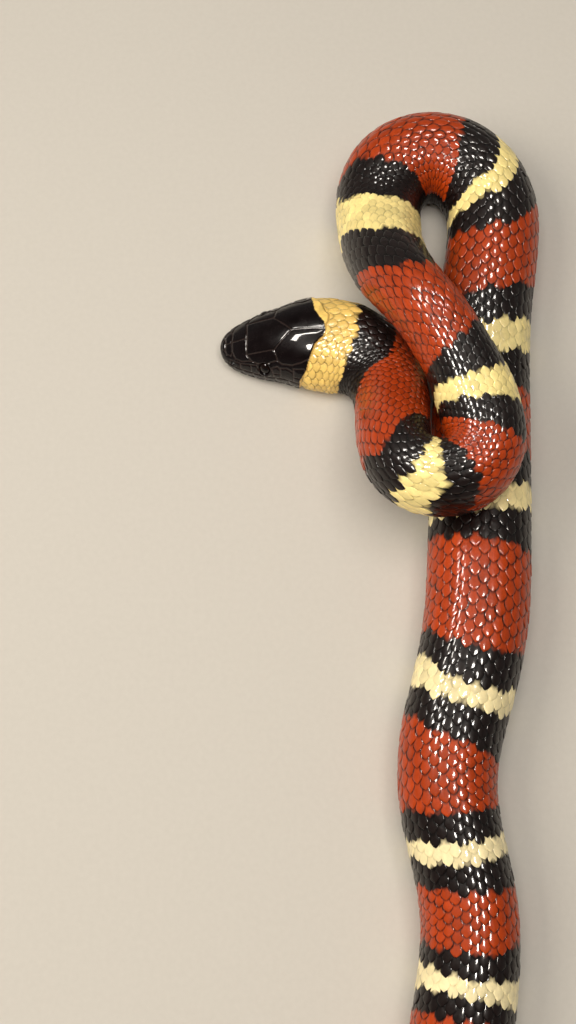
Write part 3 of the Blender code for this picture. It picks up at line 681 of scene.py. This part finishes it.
def lattice_tree():
    """Rows of plates in a lattice, every other column half a row further back, each a little askew."""
    tree = bpy.data.node_groups.new("rows_of_scales", "GeometryNodeTree")
    face = tree.interface
    face.new_socket("Geometry", in_out="INPUT", socket_type="NodeSocketGeometry")
    for name, kind in (
        ("Shape", "NodeSocketObject"), ("Columns", "NodeSocketInt"), ("Rows", "NodeSocketInt"),
        ("First row", "NodeSocketFloat"), ("Stagger", "NodeSocketFloat"), ("Wobble", "NodeSocketFloat"),
        ("Seed", "NodeSocketInt"), ("Finish", "NodeSocketMaterial"),
    ):
        face.new_socket(name, in_out="INPUT", socket_type=kind)
    face.new_socket("Geometry", in_out="OUTPUT", socket_type="NodeSocketGeometry")
    given = add(tree, "NodeGroupInput", (-1400, 0)).outputs
    spans = [
        add(tree, "ShaderNodeMath", (-1200, 200 - 160 * k), [(given[name], 0)], operation="SUBTRACT",
            inputs={1: 1.0}).outputs[0]
        for k, name in enumerate(("Columns", "Rows"))
    ]
    grid = add(tree, "GeometryNodeMeshGrid", (-1000, 200), [
        (spans[0], "Size X"), (spans[1], "Size Y"), (given["Columns"], "Vertices X"), (given["Rows"], "Vertices Y"),
    ])
    position = add(tree, "GeometryNodeInputPosition", (-1200, -200))
    across = add(tree, "ShaderNodeSeparateXYZ", (-1000, -200), [(position.outputs[0], 0)])
    aside = add(tree, "ShaderNodeMath", (-820, -200), [(across.outputs["X"], 0)], operation="ABSOLUTE")
    odd = add(tree, "ShaderNodeMath", (-660, -200), [(aside.outputs[0], 0)], operation="MODULO", inputs={1: 2.0})
    stagger = add(tree, "ShaderNodeMath", (-500, -200), [(odd.outputs[0], 0), (given["Stagger"], 1)],
                  operation="MULTIPLY")
    half = add(tree, "ShaderNodeMath", (-820, -380), [(spans[1], 0)], operation="MULTIPLY", inputs={1: 0.5})
    start = add(tree, "ShaderNodeMath", (-660, -380), [(half.outputs[0], 0), (given["First row"], 1)], operation="ADD")
    back = add(tree, "ShaderNodeMath", (-340, -260), [(stagger.outputs[0], 0), (start.outputs[0], 1)], operation="ADD")
    offset = add(tree, "ShaderNodeCombineXYZ", (-180, -260), [(back.outputs[0], "Y")])
    roots = add(tree, "GeometryNodeSetPosition", (0, 200),
                [(grid.outputs["Mesh"], "Geometry"), (offset.outputs[0], "Offset")])
    shape = add(tree, "GeometryNodeObjectInfo", (-180, -420), [(given["Shape"], "Object")])
    low = add(tree, "ShaderNodeMath", (-180, -620), [(given["Wobble"], 0)], operation="MULTIPLY", inputs={1: -1.0})
    askew = add(tree, "FunctionNodeRandomValue", (0, -560), [(given["Seed"], "Seed")], data_type="FLOAT_VECTOR")
    tree.links.new(low.outputs[0], askew.inputs[0])
    tree.links.new(given["Wobble"], askew.inputs[1])
    plates = add(tree, "GeometryNodeInstanceOnPoints", (220, 200), [
        (roots.outputs[0], "Points"), (shape.outputs["Geometry"], "Instance"), (askew.outputs[0], "Rotation"),
    ])
    where = add(tree, "GeometryNodeInputPosition", (220, -120))
    rooted = add(tree, "GeometryNodeStoreNamedAttribute", (440, 200), [(plates.outputs[0], "Geometry")],
                 data_type="FLOAT_VECTOR", domain="INSTANCE", inputs={"Name": "root"})
    tree.links.new(where.outputs[0], rooted.inputs["Value"])
    chance = add(tree, "FunctionNodeRandomValue", (440, -200), [(given["Seed"], "Seed")], data_type="FLOAT")
    toned = add(tree, "GeometryNodeStoreNamedAttribute", (660, 200), [(rooted.outputs[0], "Geometry")],
                data_type="FLOAT", domain="INSTANCE", inputs={"Name": "tone"})
    tree.links.new(chance.outputs[1], toned.inputs["Value"])
    real = add(tree, "GeometryNodeRealizeInstances", (880, 200), [(toned.outputs[0], "Geometry")])
    finish = add(tree, "GeometryNodeSetMaterial", (1060, 200),
                 [(real.outputs[0], "Geometry"), (given["Finish"], "Material")])
    add(tree, "NodeGroupOutput", (1240, 200), [(finish.outputs[0], "Geometry")])
    return tree


# Scale keratin: smooth and clear over pigment, glossy as varnish, and a little uneven from scale to scale.
# Its colour holds painted shade where the next scale would shade its front, and is darker at its thin rim, partly
# painted shade and partly the dark under-skin there.
def scale_keratin():
    material = bpy.data.materials.new("overlapping_scale_keratin")
    material.use_nodes = True
    tree = material.node_tree
    shader = tree.nodes["Principled BSDF"]
    ring = add(tree, "ShaderNodeAttribute", (-1500, 300), attribute_name="marking")
    lie = add(tree, "ShaderNodeAttribute", (-1500, 0), attribute_name="lie")
    lie_parts = add(tree, "ShaderNodeSeparateXYZ", (-1300, 0), [(lie.outputs["Vector"], 0)])
    front = add(tree, "ShaderNodeFloatCurve", (-1080, 160), [(lie_parts.outputs["X"], "Value")])
    line = front.mapping.curves[0]
    line.points[0].location = (0.0, open_from(0.0))
    line.points[1].location = (1.0, open_from(1.0))
    for across in np.linspace(0, 0.75, 16)[1:]:
        line.points.new(across, open_from(across))
    for point in line.points:
        point.handle_type = "VECTOR"
    front.mapping.update()
    open_part = add(tree, "ShaderNodeMath", (-800, 0), [(lie_parts.outputs["Y"], 0), (front.outputs[0], 1)],
                    operation="SUBTRACT")
    # Painted shade: darker towards the edges of the scales that cover this one's front
    shade = add(tree, "ShaderNodeMapRange", (-640, 0), [(open_part.outputs[0], "Value")],
                interpolation_type="SMOOTHSTEP",
                inputs={"From Min": -0.02, "From Max": 0.17, "To Min": 0.08, "To Max": 1.0})
    # Darker at the rim: partly painted shade along the edge, partly the dark under-skin at the thin edge
    rim = add(tree, "ShaderNodeMapRange", (-640, -220), [(lie_parts.outputs["Z"], "Value")],
              inputs={"From Min": 0.25, "From Max": 1.0, "To Min": 1.0, "To Max": 0.6})
    where = add(tree, "ShaderNodeTexCoord", (-1300, -420))
    cloud = add(tree, "ShaderNodeTexNoise", (-1120, -420), [(where.outputs["Object"], "Vector")],
                inputs={"Scale": 700.0, "Detail": 3.0, "Roughness": 0.6})
    mottle = add(tree, "ShaderNodeMapRange", (-640, -420), [(cloud.outputs["Fac"], "Value")],
                 inputs={"From Min": 0.3, "From Max": 0.7, "To Min": 0.9, "To Max": 1.08})
    front_and_rim_shade = add(tree, "ShaderNodeMath", (-440, -60), [(shade.outputs["Result"], 0), (rim.outputs["Result"], 1)],
               operation="MULTIPLY")
    ring_parts = add(tree, "ShaderNodeSeparateColor", (-1300, 300), [(ring.outputs["Color"], 0)])
    # The painted shade shows less on pale rings
    shade_power = add(tree, "ShaderNodeMath", (-640, 200), [(ring_parts.outputs["Green"], 0)],
                   operation="MULTIPLY_ADD", inputs={1: -1.2, 2: 1.05})
    softened_shade = add(tree, "ShaderNodeMath", (-360, 60), [(front_and_rim_shade.outputs[0], 0), (shade_power.outputs[0], 1)],
                 operation="POWER")
    shade_and_mottle = add(tree, "ShaderNodeMath", (-280, -60), [(softened_shade.outputs[0], 0), (mottle.outputs["Result"], 1)],
                operation="MULTIPLY")
    tint = add(tree, "ShaderNodeVectorMath", (-120, 200),
               [(ring.outputs["Color"], 0), (shade_and_mottle.outputs[0], "Scale")], operation="SCALE")
    tree.links.new(tint.outputs["Vector"], shader.inputs["Base Color"])
    rough = add(tree, "ShaderNodeMapRange", (-440, -420), [(cloud.outputs["Fac"], "Value")],
                inputs={"From Min": 0.3, "From Max": 0.7, "To Min": 0.34, "To Max": 0.48})
    tree.links.new(rough.outputs["Result"], shader.inputs["Roughness"])
    grain = add(tree, "ShaderNodeTexNoise", (-640, -640), [(where.outputs["Object"], "Vector")],
                inputs={"Scale": 1500.0, "Detail": 2.0})
    bump = add(tree, "ShaderNodeBump", (-280, -540), [(grain.outputs["Fac"], "Height")],
               inputs={"Strength": 0.6, "Distance": 0.0001})
    tree.links.new(bump.outputs["Normal"], shader.inputs["Normal"])
    shader.inputs["IOR"].default_value = 1.5
    shader.inputs["Specular IOR Level"].default_value = 0.1
    shader.inputs["Coat Weight"].default_value = 0.5
    shader.inputs["Coat Roughness"].default_value = 0.09
    return material


rows_of_scales = lattice_tree()
keratin = scale_keratin()
scale_shape = new_object("scale_shape", scale_mesh())


def grown(shape, columns, first, rows, stagger, seed, wobble=WOBBLE):
    """Grow a lattice of plates with the node tree, as a plain mesh still laid out flat."""
    holder = new_object("growing", bpy.data.meshes.new("growing"))
    modifier = holder.modifiers.new("rows", "NODES")
    modifier.node_group = rows_of_scales
    values = {
        "Shape": shape, "Columns": columns, "Rows": rows, "First row": float(first), "Stagger": stagger,
        "Wobble": wobble, "Seed": seed, "Finish": keratin,
    }
    for item in rows_of_scales.interface.items_tree:
        if item.in_out == "INPUT" and item.name in values:
            modifier[item.identifier] = values[item.name]
    graph = bpy.context.evaluated_depsgraph_get()
    mesh = bpy.data.meshes.new_from_object(holder.evaluated_get(graph), depsgraph=graph)
    bpy.data.objects.remove(holder)
    return mesh


def read(mesh, name, width_of, key):
    values = np.zeros(len(mesh.vertices) * width_of, np.float32)
    mesh.attributes[name].data.foreach_get(key, values)
    return values.astype(float).reshape(-1, width_of) if width_of > 1 else values.astype(float)


def wrap(mesh, share_of, half_span, piece_from, piece_to):
    """Lay a flat lattice of plates round the body, with its colours and its OFBake map."""
    flat = read(mesh, "position", 3, "vector")
    root = read(mesh, "root", 3, "vector")
    tone = read(mesh, "tone", 1, "value")
    own = flat - root
    s = np.minimum(place_of_row(flat[:, 1]), TAIL_END - 0.6)
    g = share_of(flat[:, 0])
    thin = np.clip(width(s) / 9.0, 0.25, 1.0)
    points = over_body(s, g, flat[:, 2] * thin)
    mesh.vertices.foreach_set("co", (points * MM).astype(np.float32).ravel())
    # Where each point lies on its scale, read by the scale material to paint shade at the covered front and at the rim
    v = np.clip(own[:, 1] / OVERLAP, 0, 1)
    top = SCALE_RISE[0] + (SCALE_RISE[1] - SCALE_RISE[0]) * v
    rim = np.clip((top - own[:, 2]) / RIM_DROP, 0, 1)
    lie = np.stack([np.abs(own[:, 0]), v, rim], -1)
    layer = mesh.attributes.new("lie", "FLOAT_VECTOR", "POINT")
    layer.data.foreach_set("vector", lie.astype(np.float32).ravel())
    root_s, root_g = place_of_row(root[:, 1] + 0.95), share_of(root[:, 0])
    ragged = (tone * 7.0 % 1 - 0.5) * 0.5
    colour = marking(root_s + ragged + EDGE_LEAN * (s - root_s), root_g, True)
    colour[:, :3] *= (0.88 + 0.24 * tone)[:, None]
    paint(mesh, colour)
    layer = mesh.uv_layers.new(name="OFBake")
    corner = np.zeros(len(mesh.loops), np.int32)
    mesh.loops.foreach_get("vertex_index", corner)
    below = np.zeros(len(mesh.polygons), np.int32)
    mesh.polygons.foreach_get("loop_total", below)
    hidden = np.repeat(below > 8, below)
    u = 0.5 + 0.48 * share_of(root[:, 0]) / half_span + own[:, 0] * 0.002
    w = 0.01 + 0.98 * (place_of_row(root[:, 1]) - piece_from) / (piece_to - piece_from) + (v - 0.5) * 0.003
    uv = np.stack([u, w], -1)[corner]
    uv[hidden, 0] += 0.004
    layer.data.foreach_set("uv", np.clip(uv, 0.001, 0.999).astype(np.float32).ravel())


def drop_under_shields(mesh, columns):
    """Leave out the scales that would lie wholly under the shields of the head."""
    root = read(mesh, "root", 3, "vector")
    tip = place_of_row(root[:, 1] + OVERLAP)
    gone = tip < shields_end(share_of_column(root[:, 0], columns)) + 0.9
    work = bmesh.new()
    work.from_mesh(mesh)
    work.verts.ensure_lookup_table()
    bmesh.ops.delete(work, geom=[work.verts[i] for i in np.flatnonzero(gone)], context="VERTS")
    work.to_mesh(mesh)
    work.free()


def joined(name, meshes):
    parts = [new_object(name, mesh) for mesh in meshes]
    if len(parts) > 1:
        with bpy.context.temp_override(
            active_object=parts[0], object=parts[0], selected_objects=parts, selected_editable_objects=parts,
        ):
            bpy.ops.object.join()
    return parts[0]


row_now = math.floor(row_of_place(COATS[0][1][0][0]))
for name, stretches in COATS:
    meshes = []
    piece_from, piece_to = stretches[0][0] - 6, stretches[-1][1] + 6
    for start, end, columns in stretches:
        last = round(row_of_place(end))
        mesh = grown(scale_shape, columns, row_now, last - row_now, 0.5, SEED + row_now)
        if name == "nape_scales":
            drop_under_shields(mesh, columns)
        wrap(mesh, lambda x, n=columns: share_of_column(x, n), BELLY_SHARE, piece_from, piece_to)
        meshes.append(mesh)
        row_now = last
    coat = joined(name, meshes)
    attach(coat, "root")

# Belly scutes. One broad plate for each row of back scales, from the throat to the vent, and two
# side by side under the tail. They are the same keratin, flat and smooth for gliding on.
SCUTES_FROM, VENT, SCUTES_TO = 18.5, 628.0, 741.0
SCUTE_COATS = (("belly_scutes_front", 18.5, 330.0, 1), ("belly_scutes_rear", 330.0, 628.0, 1), ("tail_scutes", 628.0, 741.0, 2))
SCUTE_OVERLAP = 1.3


def scute_mesh(name, reach, across):
    """One scute: x across with 1 at its end, y along in rows, z outward in millimetres."""
    lines = ((0.0, 0.0), (0.35, 0.0), (0.75, 0.0), (0.93, 0.02), (1.0, RIM_DROP))
    points, faces = [], []
    for under in (0.0, 1.0):
        for v, drop in lines:
            for x in np.linspace(-1, 1, across + 1):
                end = max(0.0, abs(x) - 0.82) / 0.18
                lean = SCALE_RISE[0] + (SCALE_RISE[1] - SCALE_RISE[0]) * v
                z = lean - drop - 0.09 * end**2 - under * (PLATE_THICK - RIM_DROP)
                y = (v - 0.12 * v * end**2) * SCUTE_OVERLAP
                points.append((float(x) * reach, y, z))
    wide = across + 1
    deep = len(lines)
    for r in range(deep - 1):
        for c in range(across):
            a = r * wide + c
            faces.append([a, a + 1, a + wide + 1, a + wide])
            b = a + deep * wide
            faces.append([b + wide, b + wide + 1, b + 1, b])
    under_row = deep * wide
    for c in range(across):
        faces.append([under_row + c, under_row + c + 1, c + 1, c])
        a = (deep - 1) * wide + c
        faces.append([a, a + 1, under_row + a + 1, under_row + a])
    for r in range(deep - 1):
        a, b = r * wide, (r + 1) * wide
        faces.append([a, b, under_row + b, under_row + a])
        a, b = a + across, b + across
        faces.append([b, a, under_row + a, under_row + b])
    return keratin_mesh(name, points, faces)


def share_of_belly(x):
    return 1 + x * (1 - BELLY_SHARE) * 1.06


for name, start, end, columns in SCUTE_COATS:
    first, last = round(row_of_place(start)), round(row_of_place(end))
    shape = new_object(name + "_shape", scute_mesh(name + "_shape", 1.0 / columns, 14 // columns))
    mesh = grown(shape, columns, first, last - first, 0.0, SEED + first, 0.0)
    wrap(mesh, share_of_belly, 1 - BELLY_SHARE, start - 6, end + 6)
    bpy.data.objects.remove(shape)
    scutes = new_object(name, mesh)
    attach(scutes, "root")
bpy.data.objects.remove(scale_shape)

# Studio. A plain pale sheet as the floor, a large soft light over it with a small hard one for the
# sparkle on the scales, and the camera at the photograph's angle.
CAMERA_AT = (SHIFT[0] * MM, (SHIFT[1] - 102.606) * MM, 281.908 * MM)
CAMERA_TILT = 20.0
SENSOR, LENS = 36.0, 52.734


def pale_card():
    material = bpy.data.materials.new("matt_pale_card")
    material.use_nodes = True
    tree = material.node_tree
    shader = tree.nodes["Principled BSDF"]
    where = add(tree, "ShaderNodeTexCoord", (-900, 0))
    cloud = add(tree, "ShaderNodeTexNoise", (-700, 0), [(where.outputs["Object"], "Vector")],
                inputs={"Scale": 900.0, "Detail": 3.0})
    colour = add(tree, "ShaderNodeMix", (-400, 0), [(cloud.outputs["Fac"], "Factor")], data_type="RGBA")
    colour.inputs["A"].default_value = linear("#c4c1bb")
    colour.inputs["B"].default_value = linear("#cbc8c2")
    tree.links.new(colour.outputs["Result"], shader.inputs["Base Color"])
    shader.inputs["Roughness"].default_value = 0.85
    return material


work = bmesh.new()
bmesh.ops.create_grid(work, x_segments=1, y_segments=1, size=1.5)
floor_mesh = bpy.data.meshes.new("floor")
work.to_mesh(floor_mesh)
work.free()
floor_mesh.materials.append(pale_card())
floor = new_object("floor", floor_mesh)

camera_data = bpy.data.cameras.new("camera")
camera_data.lens = LENS
camera_data.sensor_width = SENSOR
camera_data.clip_start = 0.01
camera = new_object("camera", camera_data)
camera.location = CAMERA_AT
camera.rotation_euler = (math.radians(CAMERA_TILT), 0, 0)
bpy.context.scene.camera = camera


def lamp(name, place, target, size, power, colour, glints=True):
    """An oblong area lamp, its long side level, that makes glints or else lights surfaces evenly."""
    data = bpy.data.lights.new(name, "AREA")
    data.shape = "RECTANGLE"
    data.size, data.size_y = size
    data.energy = power
    data.color = linear(colour)[:3]
    light = new_object(name, data)
    light.visible_glossy = glints
    light.visible_diffuse = not glints
    light.location = place
    aim = np.array(target) - np.array(place)
    aim = aim / np.linalg.norm(aim)
    light.rotation_euler = (math.acos(-aim[2]), 0, math.atan2(-aim[0], aim[1]))
    return light


AIM = (0.04, 0.08, 0.01)
CROWN_AIM = (0.016, 0.117, 0.011)
lamp("softbox", (-0.5, 0.0, 0.5), AIM, (0.5, 0.5), 3.8, "#fff4e2", False)
lamp("overhead", (0.05, 0.0, 0.8), AIM, (0.6, 0.6), 4.9, "#fff6ea", False)
lamp("strip", (-0.0367, 0.1989, 0.1769), CROWN_AIM, (0.0875, 0.0063), 0.12, "#fff8ee")
lamp("panel", (0.19, 0.12, 0.52), AIM, (0.08, 0.06), 2.2, "#fff8ee")
lamp("rear_panel", (0.1, 0.45, 0.52), AIM, (0.08, 0.05), 1.2, "#fff8ee")
lamp("spark", (-0.0633, 0.1611, 0.1584), CROWN_AIM, (0.0385, 0.0158), 0.12, "#fff8ee")
lamp("nape_spark", (-0.035, 0.107, 0.18), CROWN_AIM, (0.03, 0.03), 0.3, "#fff8ee")

# The room: pale walls that give light from low down all round, under a dark ceiling
world = bpy.data.worlds.new("studio")
world.use_nodes = True
sky = world.node_tree
toward = add(sky, "ShaderNodeTexCoord", (-900, 0))
parts = add(sky, "ShaderNodeSeparateXYZ", (-700, 0), [(toward.outputs["Generated"], 0)])
walls = add(sky, "ShaderNodeMapRange", (-500, 0), [(parts.outputs["Z"], "Value")],
            interpolation_type="SMOOTHSTEP",
            inputs={"From Min": 0.25, "From Max": 0.75, "To Min": 0.22, "To Max": 0.04})
sky.nodes["Background"].inputs["Color"].default_value = linear("#ece9e4")
sky.links.new(walls.outputs["Result"], sky.nodes["Background"].inputs["Strength"])
bpy.context.scene.world = world
bpy.context.scene.view_settings.view_transform = "Standard"
